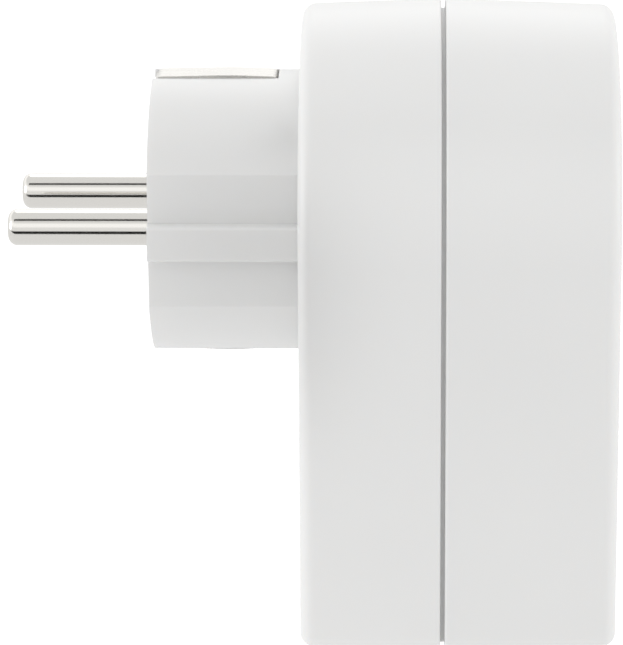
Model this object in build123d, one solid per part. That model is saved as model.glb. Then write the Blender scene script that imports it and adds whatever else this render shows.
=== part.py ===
from build123d import *
import math
import os

# Plug-in power meter for a round-pin earthed wall outlet. Sizes are in millimetres.
# The origin is where the plug's axis meets the flat back of the housing, which lies against the wall plate.
# +Z is up, +Y goes into the wall along the plug, and -Y is the front with the outlet, display and keys.

# ---- Housing ----
housing_width = 56.0
axis_to_bottom = 52.8
rear_depth = 18.5
front_depth = 22.5
draft_angle = 2.2
bottom_corner = 2.4
edge_round = 1.8
wall = 2.4
seam_gap = 0.55
seam_step = 1.2
tongue_height = 1.8
tongue_clearance = 0.1
post_gap = 0.15
rim_round = 0.35
label_width = 34.0
label_height = 17.0
label_sink = 0.25
label_corner = 1.5
label_above_screws = 11.7

# ---- Plug body, which stands out of the rear shell ----
plug_radius = 18.6
plug_length = 19.4
plug_wall = 2.2
plug_face = 3.0
plug_rim_round = 0.5
side_flat = 16.4
rib_width = 4.6
rib_reach = 18.4
rib_proud = 0.25
strip_seat = 17.95
plug_fit = 0.05
plug_flange_reach = 1.6
plug_flange = 1.0

# ---- Plug pins ----
pin_radius = 2.4
pin_length = 19.0
pin_spacing = 19.0
pin_tip_round = 1.2
pin_collar_radius = 2.6
pin_collar_proud = 0.3
pin_shoulder_radius = 3.4
pin_shoulder = 1.6
pin_tail_radius = 1.8
pin_tail = 5.8
pin_boss_wall = 1.3
solder_cup = 2.0

# ---- Outlet in the front ----
recess_radius = 20.6
recess_depth = 17.5
recess_lip_round = 0.7
cup_wall = 1.7
cup_floor = 2.6
cup_flange_reach = 1.3
cup_flange = 1.2
outlet_hole_radius = 2.7
outlet_hole_chamfer = 0.7
guide_width = 4.4
guide_reach = 18.9
guide_setback = 2.0
ear_angle = 45.0
ear_from_cup = 0.2
ear_side_gap = 0.15
ear_radius = 2.3
ear_length = 9.0

# ---- Shutter behind the outlet's floor ----
shutter_thickness = 2.2
shutter_play = 0.3
shutter_post_radius = 2.0
shutter_bore_clearance = 0.06
shutter_hub_radius = 4.6
shutter_sleeve = 0.7
shutter_plate = 0.7
shutter_reach = 13.2
shutter_half_angle = 19.0
shutter_ramp = 0.8
spring_wire = 0.2
spring_radius = 3.5
spring_play = 0.08
spring_leg_angle = 202.5
spring_leg_reach = 9.0
spring_fixed_leg = 10.4
stop_peg_radius = 0.8
stop_peg_at = 11.0
stop_peg_gap = 1.0

# ---- Contact carrier and outlet contacts ----
carrier_half_width = 17.0
carrier_half_height = 7.5
carrier_back_gap = 2.6
carrier_front_plate = 1.6
carrier_ear_z = 10.6
carrier_boss_radius = 3.0
contact_pocket_width = 8.4
contact_pocket_height = 11.0
carrier_web = 1.4
contact_entry_clearance = 0.3
contact_thickness = 0.7
contact_width = 7.0
contact_grip_half = 2.5
contact_waist_half = 3.9
contact_mouth_half = 3.6
contact_base_inset = 0.9
contact_mouth_inset = 0.3
contact_tab_x = 7.1
contact_tab_width = 2.0
contact_tab_z = -12.5

# ---- Earth strips ----
strip_thickness = 0.6
strip_width = 5.0
strip_bow = 0.15
strip_play = 0.05
strip_cross_y = 3.2
strip_hook = 2.8
earth_clip_thickness = 0.7
earth_clip_width = 6.0
earth_clip_bow_z = 18.9
earth_clip_wall_z = 20.0
earth_clip_mouth_z = 20.4
earth_clip_foot_z = 14.2
earth_clip_mouth = 5.5
earth_clip_bow = 9.5
earth_clip_bow_length = 3.0
earth_clip_seat = 3.0
bridge_z = 14.4
bridge_thickness = 0.8
slot_side_clearance = 0.4

# ---- Display, in the front wall below the outlet ----
lens_width = 42.0
lens_height = 16.6
lens_thickness = 1.2
lens_corner = 2.0
lens_below_outlet = 1.4
lens_side_clearance = 0.08
window_width = 34.4
window_height = 13.0
window_corner = 1.0
glass_width = 36.4
glass_height = 15.0
glass_plate = 1.1
glass_ledge = 2.4
holder_wall = 0.9
holder_ledge = 0.6
board_clearance = 0.3
zebra_width = 1.8
display_board_thickness = 1.0
display_stack = 4.6
display_board_end_gap = 2.2
display_post_inset = 1.5
display_post_gap = 0.3
display_post_drop = 2.8
display_post_radius = 2.0

# ---- Keys ----
keys_below_lens = 1.7
key_width = 7.4
key_height = 4.2
key_xs = (-13.5, -4.5, 4.5)
key_names = ("key_mode", "key_up", "key_down")
key_proud = 0.4
key_gap = 0.2
key_flange = 0.6
key_flange_thickness = 0.8
key_round = 0.5
reset_x = 12.8
reset_radius = 1.5
reset_sink = 0.5
mat_thickness = 1.0
dome_base_radius = 2.3
dome_top_radius = 1.5
dome_wall = 0.45

# ---- Boards and their parts ----
main_board_side_gap = 0.5
main_board_top_z = -9.5
main_board_end_gap = 2.4
main_board_standoff = 5.3
main_board_thickness = 1.6
main_board_notch_half = 4.0
main_board_notch_z = -17.0
board_screw_inset = 3.2
board_screw_rise = 3.4
upper_board_screw_z = -22.6
board_boss_radius = 2.3
part_gap = 0.05
wire_radius = 1.2
wire_core = 0.9
wire_bend = 2.2
wire_x = 11.6
wire_down_z = -9.8
wire_board_z = -16.5
wire_back_gap = 1.3

can_radius = 5.0
can_length = 15.0
can_x = -6.0
can_z = -39.2
shunt_length = 8.0
shunt_width = 3.0
shunt_height = 3.6
shunt_x = 7.2
shunt_z = -19.8
xcap_width = 15.0
xcap_height = 7.0
xcap_tall = 10.0
xcap_x = -6.5
xcap_z = -30.2
varistor_radius = 4.6
varistor_thick = 3.6
varistor_x = -8.0
varistor_z = -18.5
fuse_radius = 4.2
fuse_height = 7.6
fuse_x = 10.4
fuse_z = -28.6
rectifier_x = -1.8
rectifier_z = -19.4
rectifier_width = 6.4
rectifier_height = 3.8
rectifier_tall = 3.2
meter_x = 6.8
meter_z = -38.2
meter_width = 7.5
meter_height = 10.0
meter_tall = 2.3
meter_legs = 8
leg_thickness = 0.25
leg_out = 0.7
leg_reach = 1.3
leg_share = 0.32
crystal_x = -5.5
crystal_z = -46.0
crystal_width = 10.8
crystal_height = 3.6
crystal_tall = 3.4
resistor_edge_gap = 1.5
resistor_above_screw = 5.8
resistor_rise = 9.2
third_resistor_x = 14.7
third_resistor_rise = 8.1
resistor_radius = 1.15
resistor_length = 6.0
connector_height = 5.0
ribbon_x = 0.0
ribbon_width = 7.2
ribbon_main_z = -24.0
ribbon_display_z = -29.0
mcu_x = -14.0
mcu_z = -33.0
mcu_size = 7.0
mcu_tall = 1.4
mcu_legs = 8
cell_x = 13.6
cell_z = -35.5
cell_radius = 6.25
cell_thickness = 2.5
cell_lift = 0.6

# ---- Screws ----
screw_radius = 1.25
screw_head_radius = 2.5
screw_head = 1.9
screw_bite = 6.1
thread_length = 9.0
small_screw_radius = 0.95
small_screw_head_radius = 1.8
small_screw_head = 1.2
small_screw_length = 5.0
screw_sink = 6.0
screw_clearance = 0.3
thread_clearance = 0.05
lower_screw_from_side = 6.7
lower_screw_from_bottom = 7.6
post_wall = 1.2

# ---- Worked out from the sizes above ----
half_width = housing_width / 2
seam_y = -rear_depth
rear_rim_y = seam_y + seam_gap / 2
front_rim_y = seam_y - seam_gap / 2
front_y = -(rear_depth + front_depth)
rear_wall_y = -wall
front_wall_y = front_y + wall
draft = math.tan(math.radians(draft_angle))
strip_channel = strip_width / 2 + slot_side_clearance / 2
strip_face = strip_seat + strip_play
pin_x = pin_spacing / 2
pin_seat_y = plug_length - plug_face
pin_tail_y = pin_seat_y - pin_shoulder - pin_tail
cup_radius = recess_radius + cup_wall
cup_flange_radius = cup_radius + cup_flange_reach
floor_y = front_y + recess_depth
floor_rear_y = floor_y + cup_floor
shutter_front_y = floor_rear_y + shutter_play
shutter_plate_y = shutter_front_y + shutter_plate
shutter_rear_y = shutter_front_y + shutter_thickness
carrier_front_y = shutter_rear_y + shutter_play
carrier_rear_y = rear_wall_y - carrier_back_gap
carrier_pocket_y = carrier_front_y + carrier_front_plate
foot_y = floor_rear_y + part_gap * 2
main_board_rear_y = rear_wall_y - main_board_standoff
main_board_front_y = main_board_rear_y - main_board_thickness
wire_back_y = rear_wall_y - wire_back_gap - wire_radius
display_board_front_y = front_wall_y + display_stack
display_board_rear_y = display_board_front_y + display_board_thickness
glass_front_y = front_wall_y + part_gap * 4
glass_rear_y = glass_front_y + 2 * glass_plate
mat_front_y = display_board_front_y - part_gap - mat_thickness
flange_front_y = front_wall_y + part_gap * 2
flange_rear_y = flange_front_y + key_flange_thickness
ear_radius_at = cup_radius + ear_from_cup
upper_screw_x = ear_radius_at * math.sin(math.radians(ear_angle))
upper_screw_z = ear_radius_at * math.cos(math.radians(ear_angle))
lower_screw_x = half_width - lower_screw_from_side
lower_screw_z = -(axis_to_bottom - lower_screw_from_bottom)
screw_head_y = -screw_sink
screw_length = screw_head_y - floor_rear_y + screw_bite
screw_tip_y = screw_head_y - screw_length
post_radius = screw_head_radius + screw_clearance + post_wall
label_centre_z = lower_screw_z + label_above_screws
main_board_half_width = lower_screw_x - post_radius - main_board_side_gap
main_board_bottom_z = -(axis_to_bottom - wall - main_board_end_gap)
board_screw_x = main_board_half_width - board_screw_inset
lower_board_screw_z = main_board_bottom_z + board_screw_rise
display_board_bottom_z = -(axis_to_bottom - wall - display_board_end_gap)
display_board_top_z = -(cup_flange_radius - 0.2)
display_post_x = glass_width / 2 + holder_wall + 2 * part_gap + display_post_gap + display_post_radius
display_board_half_width = display_post_x + display_post_inset
display_post_z = display_board_top_z - display_post_drop
lens_centre_z = -(cup_flange_radius + lens_below_outlet + lens_height / 2)
key_z = lens_centre_z - (lens_height + key_height) / 2 - keys_below_lens
resistor_x = resistor_edge_gap - main_board_half_width
resistor_z = lower_board_screw_z + resistor_above_screw
resistor_places = ((resistor_x, resistor_z), (resistor_x, resistor_z + resistor_rise),
                   (third_resistor_x, lower_board_screw_z + third_resistor_rise))
sleeve_radius = screw_radius + screw_clearance + thread_clearance + 0.7
UPPER_SCREWS = ((-upper_screw_x, upper_screw_z), (upper_screw_x, upper_screw_z))
LOWER_SCREWS = ((-lower_screw_x, lower_screw_z), (lower_screw_x, lower_screw_z))
SIDES = (-1, 1)
BOARD_SCREWS = [(side * board_screw_x, z) for side in SIDES for z in (lower_board_screw_z,
                                                                      upper_board_screw_z)]


# ---- Helpers ----
def save(name, *solids):
    """Writes one node; several solids share a node only where they are alike."""
    pieces = [piece for shape in solids for piece in shape.solids()]
    export_step(pieces[0] if len(pieces) == 1 else Compound(pieces), f"parts/{name}.step")


def facing_front(y):
    """The drawing plane at depth y. Sketch x is X and sketch y is Z, and extrusions go to -Y."""
    return Plane(origin=(0, y, 0), x_dir=(1, 0, 0), z_dir=(0, -1, 0))


def facing_rear(y):
    """The same plane seen from behind, for symmetrical sketches that are extruded to +Y."""
    return Plane(origin=(0, y, 0), x_dir=(-1, 0, 0), z_dir=(0, 1, 0))


def prism(sketch, y_a, y_b):
    """A sketch in X and Z carried from one depth to another."""
    return extrude(facing_front(max(y_a, y_b)) * sketch, amount=abs(y_a - y_b))


def rod(x, z, radius, y_a, y_b):
    return prism(Pos(x, z) * Circle(radius), y_a, y_b)


def block(x0, x1, y0, y1, z0, z1):
    centre = Pos((x0 + x1) / 2, (y0 + y1) / 2, (z0 + z1) / 2)
    return centre * Box(abs(x1 - x0), abs(y1 - y0), abs(z1 - z0))


def rims(shape, y):
    """The edges that lie wholly in the plane at depth y."""
    return shape.edges().filter_by_position(Axis.Y, y - 0.01, y + 0.01)


def turned(profile, x, z):
    """A solid of revolution about the line along Y through x and z, from (radius, y) points."""
    face = make_face(Polyline(*profile, close=True))
    return Pos(x, 0, z) * revolve(face, Axis.Y)


def bent_strip(points, thickness, width, bend, x=0.0, side=Side.LEFT):
    """Sheet metal bent along (y, z) points, with its width along X. The points are on one of its faces."""
    path = FilletPolyline(*points, radius=bend)
    face = make_face(offset(path, amount=thickness, side=side).edges())
    return Pos(x, 0, 0) * extrude(Plane.YZ * face, amount=width / 2, both=True)


def screw(x, z, head_y, length, crest, head_radius, head_height, points_to=-1):
    """A pan-head tapping screw along Y, with a cross recess and a turned thread form."""
    core = crest * 0.76
    pitch = crest * 0.9
    plain = max(length - thread_length, pitch)

    def at(distance):
        return head_y + points_to * distance

    profile = [(0, at(-head_height)), (head_radius * 0.75, at(-head_height))]
    profile += [(head_radius, at(-head_height * 0.55)), (head_radius, at(0)), (crest, at(0)),
                (crest, at(plain))]
    turns = int((length - plain) / pitch) - 1
    for n in range(turns):
        profile += [(core, at(plain + (n + 0.5) * pitch)), (crest, at(plain + (n + 1) * pitch))]
    profile += [(core, at(plain + (turns + 0.5) * pitch)), (0, at(length))]
    body = turned(profile, x, z)
    arm = head_radius * 0.62
    slot = head_radius * 0.13
    deep, top = at(-head_height * 0.35), at(-head_height - 1)
    body -= block(x - arm, x + arm, deep, top, z - slot, z + slot)
    return body - block(x - slot, x + slot, deep, top, z - arm, z + arm)


def small_screw(x, z, head_y, points_to):
    return screw(x, z, head_y, small_screw_length, small_screw_radius, small_screw_head_radius,
                 small_screw_head, points_to)


# ---- Housing shells ----
def outline(inset):
    """The housing seen from the front at the seam: an arch round the outlet's axis over straight sides."""
    half = half_width - inset
    low = -(axis_to_bottom - inset)
    corner = max(bottom_corner - inset, 0.4)
    inner, top = half - corner, low + corner
    edges = CenterArc((0, 0), half, 0, 180) + Line((-half, 0), (-half, top))
    edges += CenterArc((-inner, top), corner, 180, 90) + Line((-inner, low), (inner, low))
    edges += CenterArc((inner, top), corner, 270, 90) + Line((half, top), (half, 0))
    return make_face(edges)


def shell_blank(plane, rim_y, end_y, inner_y):
    """One open half of the housing: rounded outer skin, with a cavity that keeps the wall's thickness."""
    start = abs(rim_y - seam_y) * draft
    skin = extrude(plane * outline(start), amount=abs(end_y - rim_y), taper=draft_angle)
    skin = fillet(rims(skin, end_y), edge_round)
    skin = fillet(rims(skin, rim_y), rim_round)
    return skin - extrude(plane * outline(start + wall), amount=abs(inner_y - rim_y), taper=draft_angle)


def plug_section(inset):
    """The plug body's section: round, with a flat on each side."""
    return Circle(plug_radius - inset) & Rectangle(2 * (side_flat - inset), 3 * plug_radius)


def plug_outline(spread):
    """The plug body's section with its side ribs, spread outwards by a clearance."""
    ribs = RectangleRounded(2 * (rib_reach + spread), rib_width + 2 * spread, 0.4)
    return plug_section(-spread) + ribs


def plug_body():
    """Moulded plug: it passes out through the rear shell and is held by a flange behind the wall."""
    flange_y = rear_wall_y - part_gap
    body = prism(plug_section(0), flange_y, plug_length)
    body = fillet(rims(body, plug_length), plug_rim_round)
    ribs = plug_outline(0) - plug_section(plug_wall / 2)
    body += prism(ribs, flange_y, plug_length + rib_proud)
    for side in SIDES:
        body -= block(-strip_channel, strip_channel, strip_cross_y - 2 * strip_play, plug_length + 1,
                      side * strip_seat, side * (plug_radius + 1))
    flange = Circle(plug_radius + plug_flange_reach)
    for x, z in UPPER_SCREWS:
        flange -= Pos(x, z) * Circle(post_radius + 2 * part_gap)
    body += prism(flange, flange_y, flange_y - plug_flange)
    # hollow, left with a boss round each pin
    hollow = prism(plug_section(plug_wall), flange_y - plug_flange - 1, pin_seat_y)
    boss_y = pin_seat_y - pin_shoulder - pin_boss_wall
    for side in SIDES:
        hollow -= rod(side * pin_x, 0, pin_shoulder_radius + pin_boss_wall, boss_y, pin_seat_y + 1)
    body -= hollow
    hook_y = plug_length - strip_play - strip_thickness
    for side in SIDES:
        body -= rod(side * pin_x, 0, pin_collar_radius + part_gap, boss_y - 1, plug_length + 1)
        body -= rod(side * pin_x, 0, pin_shoulder_radius + part_gap, boss_y - 1, pin_seat_y + part_gap)
        # the earth strip's slot near the back and its pocket in the plug's face
        body -= block(-strip_channel, strip_channel, strip_cross_y - 2 * strip_play,
                      strip_cross_y + strip_thickness + 2 * strip_play,
                      side * (strip_seat - plug_wall - 1), side * (plug_radius + 1))
        body -= block(-strip_channel, strip_channel, hook_y - 2 * strip_play, plug_length + 1,
                      side * (strip_seat - strip_hook - 2 * strip_play), side * (plug_radius + 1))
    return body


def rear_shell():
    body = shell_blank(facing_rear(rear_rim_y), rear_rim_y, 0, rear_wall_y)
    # tongue that enters the front shell and closes the seam behind the groove
    tongue = outline(seam_step + tongue_clearance) - outline(wall)
    body += prism(tongue, rear_rim_y + 1, front_rim_y - tongue_height)
    # posts for the housing screws; the upper two run on as sleeves to the outlet's cup
    inside = outline(seam_step + tongue_clearance)
    for x, z in UPPER_SCREWS + LOWER_SCREWS:
        body += prism((Pos(x, z) * Circle(post_radius)) & inside, -wall / 2, seam_y)
    for x, z in UPPER_SCREWS:
        body += rod(x, z, sleeve_radius, seam_y + 1, floor_rear_y + part_gap)
    for x, z in BOARD_SCREWS:
        body += rod(x, z, board_boss_radius, -wall / 2, main_board_rear_y + part_gap)
    # opening for the plug body
    body -= prism(plug_outline(plug_fit), rear_wall_y - 1, 1)
    for x, z in UPPER_SCREWS + LOWER_SCREWS:
        body -= rod(x, z, screw_head_radius + screw_clearance, 1, screw_head_y - part_gap)
        body -= rod(x, z, screw_radius + screw_clearance, 1, floor_rear_y - 1)
    for x, z in BOARD_SCREWS:
        body -= rod(x, z, small_screw_radius + thread_clearance, rear_wall_y, main_board_front_y)
    # shallow panel for the blank rating plate
    panel = Pos(0, label_centre_z) * RectangleRounded(label_width, label_height, label_corner)
    return body - prism(panel, -label_sink, 1)


def front_shell():
    body = shell_blank(facing_front(front_rim_y), front_rim_y, front_y, front_wall_y)
    # rebate for the rear shell's tongue
    body -= prism(outline(seam_step), front_rim_y + 1.0, front_rim_y - tongue_height - tongue_clearance)
    # bosses that take the two lower screws, and posts for the display board
    for x, z in LOWER_SCREWS:
        body += rod(x, z, screw_radius + thread_clearance + post_wall, front_wall_y - wall / 2,
                    seam_y - post_gap)
        body -= rod(x, z, screw_radius + thread_clearance, seam_y, screw_tip_y - 1)
    for side in SIDES:
        x = side * display_post_x
        body += rod(x, display_post_z, display_post_radius, front_wall_y - wall / 4,
                    display_board_front_y - part_gap)
        body -= rod(x, display_post_z, small_screw_radius + thread_clearance, display_board_front_y,
                    display_board_rear_y - small_screw_length - 0.2)
    # seat and hole for the outlet cup
    body -= rod(0, 0, cup_radius + 2 * part_gap, front_y - 1, front_wall_y + 1)
    body -= rod(0, 0, cup_flange_radius + 2 * part_gap, front_y - 1, front_y + cup_flange + part_gap)
    # display window with a seat for the lens
    seat = RectangleRounded(lens_width, lens_height, lens_corner)
    body -= prism(Pos(0, lens_centre_z) * seat, front_y - 1, front_y + lens_thickness + part_gap)
    window = RectangleRounded(window_width, window_height, window_corner)
    body -= prism(Pos(0, lens_centre_z) * window, front_y - 1, front_wall_y + 1)
    # key openings
    for x in key_xs:
        body -= prism(Pos(x, key_z) * SlotOverall(key_width + 2 * key_gap, key_height + 2 * key_gap),
                      front_y - 1, front_wall_y + 1)
    return body - rod(reset_x, key_z, reset_radius + key_gap, front_y - 1, front_wall_y + 1)


def lens():
    width, height = lens_width - 2 * lens_side_clearance, lens_height - 2 * lens_side_clearance
    pane = Pos(0, lens_centre_z) * RectangleRounded(width, height, lens_corner - lens_side_clearance)
    return prism(pane, front_y, front_y + lens_thickness)


def rating_plate():
    plate = RectangleRounded(label_width - 4 * part_gap, label_height - 4 * part_gap, label_corner)
    return prism(Pos(0, label_centre_z) * plate, -label_sink + 0.02, -0.02)


# ---- Plug pins, earth strip and its bridge to the outlet ----
def plug_pin(x):
    """Nickel-plated brass pin: rounded tip, collar in the plug's face, shoulder and solder tail."""
    tip_y = plug_length + pin_length
    body = rod(x, 0, pin_radius, plug_length, tip_y)
    body = fillet(rims(body, tip_y), pin_tip_round)
    body += rod(x, 0, pin_collar_radius, pin_seat_y, plug_length + pin_collar_proud)
    body += rod(x, 0, pin_shoulder_radius, pin_seat_y - pin_shoulder, pin_seat_y)
    body += rod(x, 0, pin_tail_radius, pin_tail_y, pin_seat_y - pin_shoulder)
    return body - rod(x, 0, wire_core + 2 * part_gap, pin_tail_y - 1, pin_tail_y + solder_cup)


def plug_earth_strip():
    """One strip that is the plug's upper and lower earth contact and crosses inside the block."""
    hook_y = plug_length - strip_play - strip_thickness
    cross = strip_cross_y + strip_thickness
    bow_y = plug_length * 0.42
    points = [(hook_y, strip_seat - strip_hook), (hook_y, strip_face),
              (plug_length - bow_y, strip_face + strip_bow)]
    points += [(bow_y, strip_face + strip_bow), (cross, strip_face)]
    points += [(y, -z) for y, z in reversed(points)]
    return bent_strip(points, strip_thickness, strip_width, 0.2, side=Side.RIGHT)


def earth_bridge():
    """U-shaped strap that joins the plug's earth strip to both clips of the outlet."""
    back = strip_cross_y - part_gap
    end_y = foot_y + earth_clip_thickness + part_gap
    points = [(end_y, bridge_z), (back - bridge_thickness, bridge_z), (back - bridge_thickness, -bridge_z),
              (end_y, -bridge_z)]
    return bent_strip(points, bridge_thickness, strip_width, 0.8)


def outlet_earth_clip(side):
    """Spring clip in the cup's wall: it bows into the recess, and its foot is fixed behind the floor."""
    bow_y = front_y + earth_clip_bow
    points = [(front_y + earth_clip_mouth, earth_clip_mouth_z), (bow_y, earth_clip_bow_z),
              (bow_y + earth_clip_bow_length, earth_clip_bow_z),
              (bow_y + earth_clip_bow_length + earth_clip_seat, earth_clip_wall_z),
              (foot_y, earth_clip_wall_z), (foot_y, earth_clip_foot_z)]
    clip = bent_strip(points, earth_clip_thickness, earth_clip_width, 0.5)
    return clip if side > 0 else mirror(clip, about=Plane.XY)


# ---- Outlet ----
def socket_cup():
    """The recessed outlet: flange, wall, floor, guide noses, pin holes, shutter post and rear bosses."""
    body = rod(0, 0, cup_radius, front_y, floor_rear_y)
    body += rod(0, 0, cup_flange_radius, front_y, front_y + cup_flange)
    # ears for the upper screws, kept inside the front shell's wall
    ear_end_y = floor_rear_y - ear_length
    inside = outline(wall + (seam_y - ear_end_y) * draft + ear_side_gap)
    for x, z in UPPER_SCREWS:
        body += prism((Pos(x, z) * Circle(ear_radius)) & inside, floor_rear_y, ear_end_y)
    well = rod(0, 0, recess_radius, front_y - 1, floor_y)
    for side in SIDES:
        nose = block(side * guide_reach, side * (recess_radius + cup_wall / 2), front_y + guide_setback,
                     floor_y + 1, -guide_width / 2, guide_width / 2)
        inner = nose.edges().filter_by(Axis.Y).sort_by(lambda edge: side * edge.center().X)[:2]
        well -= fillet(inner, 0.5)
    body -= well
    mouth = [edge for edge in rims(body, front_y) if edge.radius < recess_radius + 0.1]
    body = fillet(mouth, recess_lip_round)
    half_slot = (earth_clip_width + slot_side_clearance) / 2
    relief = recess_radius + cup_wall / 2
    for side in SIDES:
        body -= rod(side * pin_x, 0, outlet_hole_radius, floor_y - 1, floor_rear_y + 1)
        cone = Cone(outlet_hole_radius, outlet_hole_radius + 2 * outlet_hole_chamfer,
                    2 * outlet_hole_chamfer)
        body -= Pos(side * pin_x, floor_y, 0) * Rot(90, 0, 0) * cone
        # slot in the floor for the earth clip, and a relief in the wall behind it
        body -= block(-half_slot, half_slot, floor_y - 1, floor_rear_y + 1,
                      side * (earth_clip_wall_z - slot_side_clearance), side * relief)
        body -= block(-half_slot, half_slot, front_y + 2 * guide_setback, floor_y + 0.5,
                      side * (recess_radius - 2), side * relief)
        # bosses that carry the contact carrier
        body += rod(0, side * carrier_ear_z, carrier_boss_radius, floor_rear_y - 0.5,
                    carrier_front_y - part_gap)
        body -= rod(0, side * carrier_ear_z, small_screw_radius + thread_clearance, floor_y + 0.8,
                    carrier_front_y + 1)
        # pegs that stop the closed shutter
        wing_edge = 90 - side * 90 - shutter_half_angle - stop_peg_gap
        angle = math.radians(wing_edge) - stop_peg_radius / stop_peg_at
        body += rod(stop_peg_at * math.cos(angle), stop_peg_at * math.sin(angle), stop_peg_radius,
                    floor_rear_y - 0.5, shutter_rear_y - 0.5)
    for x, z in UPPER_SCREWS:
        body -= rod(x, z, screw_radius + thread_clearance, floor_rear_y + 1,
                    ear_end_y + 0.8)
    return body + rod(0, 0, shutter_post_radius, floor_rear_y - 0.5, shutter_rear_y)


def shutter():
    """Turning safety shutter: a hub on the cup's post with two wings that cover the pin holes."""
    half = math.radians(shutter_half_angle)
    wing_x, wing_z = shutter_reach * math.cos(half), shutter_reach * math.sin(half)
    edges = Line((0, 0), (wing_x, -wing_z)) + ThreePointArc((wing_x, -wing_z), (shutter_reach, 0),
                                                            (wing_x, wing_z))
    wing = make_face(edges + Line((wing_x, wing_z), (0, 0)))
    wings = wing + Rot(0, 0, 180) * wing
    plate = prism(Circle(shutter_hub_radius) + wings, shutter_front_y, shutter_plate_y)
    # ramps on the front edges that an entering plug pushes aside
    leading = [edge for edge in rims(plate, shutter_front_y).filter_by(GeomType.LINE)
               if edge.center().X * edge.center().Z < 0]
    plate = chamfer(leading, shutter_ramp * shutter_plate, shutter_ramp)
    body = plate + prism(wings - Circle(shutter_hub_radius), shutter_plate_y, shutter_rear_y)
    body += rod(0, 0, shutter_post_radius + shutter_sleeve, shutter_front_y, shutter_rear_y)
    return body - rod(0, 0, shutter_post_radius + shutter_bore_clearance, shutter_front_y - 1,
                      shutter_rear_y + 1)


def shutter_spring():
    """Torsion spring round the shutter's sleeve, with one leg on a boss and one against a wing."""
    sweep_angle = math.radians(360 + spring_leg_angle)
    count = round(sweep_angle / math.radians(30))
    step = sweep_angle / count
    start_y = shutter_plate_y + spring_wire + spring_play
    rise = (shutter_thickness - shutter_plate - 2 * (spring_wire + spring_play)) / count
    corner_radius = spring_radius / math.cos(step / 2)

    def at(radius, angle, y):
        return (radius * math.cos(angle), y, radius * math.sin(angle))

    points = [(spring_radius, start_y, -spring_fixed_leg)]
    points += [at(corner_radius, (n + 0.5) * step, start_y + (n + 0.5) * rise) for n in range(count)]
    end_y = start_y + count * rise
    points += [at(spring_radius, sweep_angle, end_y), at(spring_leg_reach, sweep_angle, end_y)]
    bends = [0.95 * spring_radius] * (count - 1) + [0.6 * spring_radius, 1.5 * spring_wire]
    path = FilletPolyline(*points, radius=bends)
    return sweep(Plane(origin=path @ 0, z_dir=path % 0) * Circle(spring_wire), path=path)


def contact_carrier():
    """Moulded block behind the shutter that holds the two line contacts."""
    body = block(-carrier_half_width, carrier_half_width, carrier_front_y, carrier_rear_y,
                 -carrier_half_height, carrier_half_height)
    body = fillet(body.edges().filter_by(Axis.Y), 1.0)
    for side in SIDES:
        ear = Circle(carrier_boss_radius) + Pos(0, -side * carrier_boss_radius) * Rectangle(
            2 * carrier_boss_radius, 2 * carrier_boss_radius)
        body += prism(Pos(0, side * carrier_ear_z) * ear, carrier_front_y, carrier_pocket_y)
        body -= rod(0, side * carrier_ear_z, small_screw_radius + screw_clearance, carrier_front_y - 1,
                    carrier_rear_y + 1)
        x = side * pin_x
        half = contact_pocket_width / 2
        body -= block(x - half, x + half, carrier_pocket_y, carrier_rear_y + 1,
                      -contact_pocket_height / 2, contact_pocket_height / 2)
        body -= rod(x, 0, outlet_hole_radius + contact_entry_clearance, carrier_front_y - 1,
                    carrier_pocket_y + 1)
        # notch for the contact's tab
        tab = side * contact_tab_x
        tab_half = contact_tab_width / 2 + contact_entry_clearance
        body -= block(tab - tab_half, tab + tab_half, carrier_rear_y - contact_base_inset - 1,
                      carrier_rear_y + 1,
                      -carrier_half_height - 1, 0)
        body -= rod(0, 0, shutter_post_radius + 1, carrier_front_y - 1, carrier_pocket_y + 1)
    core_half = pin_x - contact_pocket_width / 2 - carrier_web
    return body - block(-core_half, core_half, carrier_pocket_y, carrier_rear_y + 1,
                        -carrier_half_height + carrier_web, carrier_half_height - carrier_web)


def outlet_contact(side):
    """Two spring leaves that grip a plug pin, joined by a base with a tab down to the board."""
    mouth_y = carrier_pocket_y + contact_mouth_inset
    base_y = carrier_rear_y - contact_base_inset
    upper = [(mouth_y, contact_mouth_half), (mouth_y + 1.8, contact_grip_half),
             (base_y - 3.4, contact_grip_half),
             (base_y - 1.8, contact_waist_half), (base_y, contact_waist_half)]
    points = upper + [(y, -z) for y, z in reversed(upper)]
    body = bent_strip(points, contact_thickness, contact_width, 0.4, x=side * pin_x)
    tab = [(base_y + contact_thickness, 0), (base_y + contact_thickness, contact_tab_z),
           (main_board_front_y - 0.5, contact_tab_z)]
    return body + bent_strip(tab, contact_thickness, contact_tab_width, 1.1, x=side * contact_tab_x,
                             side=Side.RIGHT)


# ---- Wires from the pins to the main board ----
def wire(side):
    points = [(side * pin_x, pin_tail_y - 2 * part_gap, 0), (side * pin_x, pin_tail_y - 3.5, 0),
              (side * wire_x, wire_back_y, wire_down_z), (side * wire_x, wire_back_y, wire_board_z),
              (side * wire_x, main_board_rear_y + 2 * part_gap, wire_board_z)]
    path = FilletPolyline(*points, radius=wire_bend)
    body = sweep(Plane(origin=path @ 0, z_dir=path % 0) * Circle(wire_radius), path=path)
    body += rod(side * pin_x, 0, wire_core, pin_tail_y - 1, pin_tail_y + solder_cup - 4 * part_gap)
    return body + rod(side * wire_x, wire_board_z, wire_core, main_board_rear_y + 1,
                      main_board_front_y - 0.6)


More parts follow.
